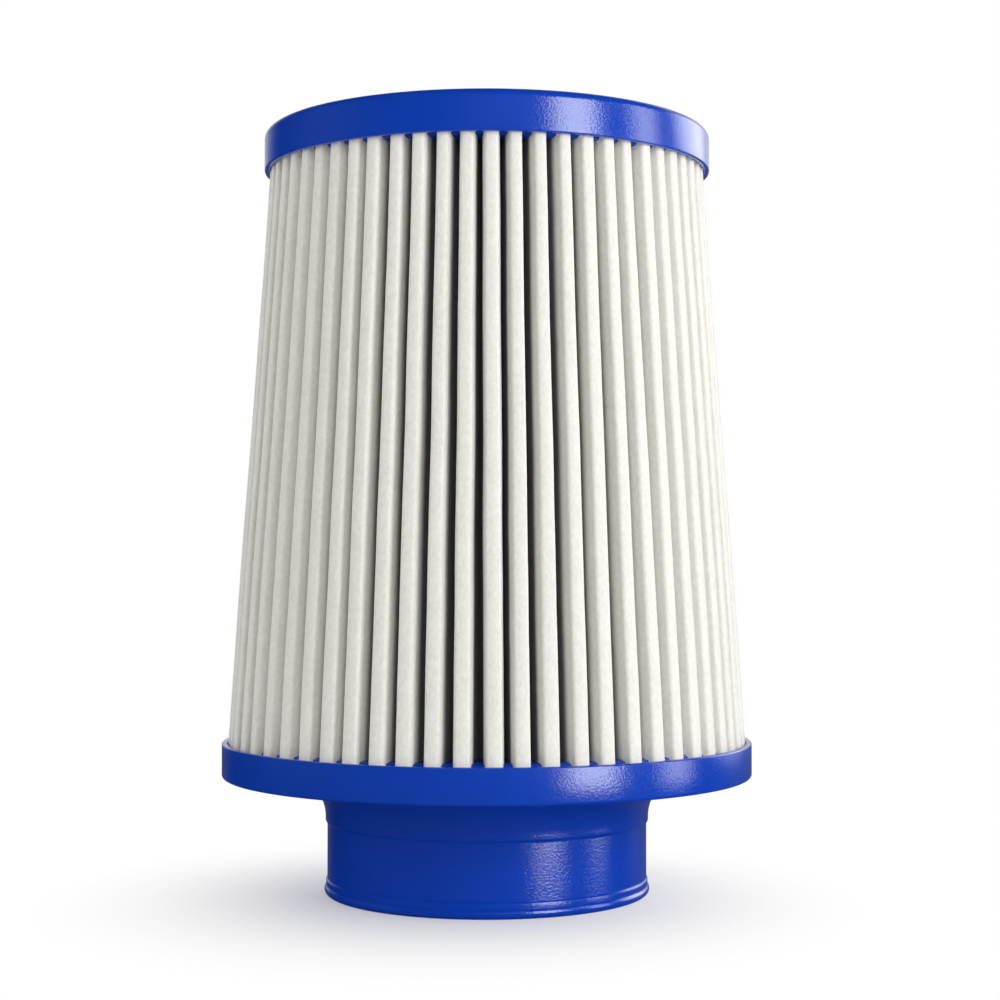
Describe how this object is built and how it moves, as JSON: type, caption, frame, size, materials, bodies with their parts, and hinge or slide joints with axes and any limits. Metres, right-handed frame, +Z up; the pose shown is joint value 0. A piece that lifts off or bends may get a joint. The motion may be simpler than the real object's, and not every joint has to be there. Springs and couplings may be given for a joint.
{
  "type": "conical air filter",
  "caption": "Conical pleated engine air filter with moulded end caps and a neck that clamps over an intake pipe.",
  "frame": {"origin": "centre of the neck's mouth, on the plane that the filter stands on", "axes": "+Z runs up the filter's axis from the neck to the closed top cap; -Y is the side seen in the picture"},
  "size_m": [0.144, 0.144, 0.207],
  "materials": {
    "moulded_blue": "satin",
    "media": "matte",
    "screen_steel": "satin"
  },
  "bodies": {
    "root": {"base_cap": "moulded_blue", "top_cap": "moulded_blue", "pleated_media": "media", "support_screen": "screen_steel"}
  },
  "joints": []
}
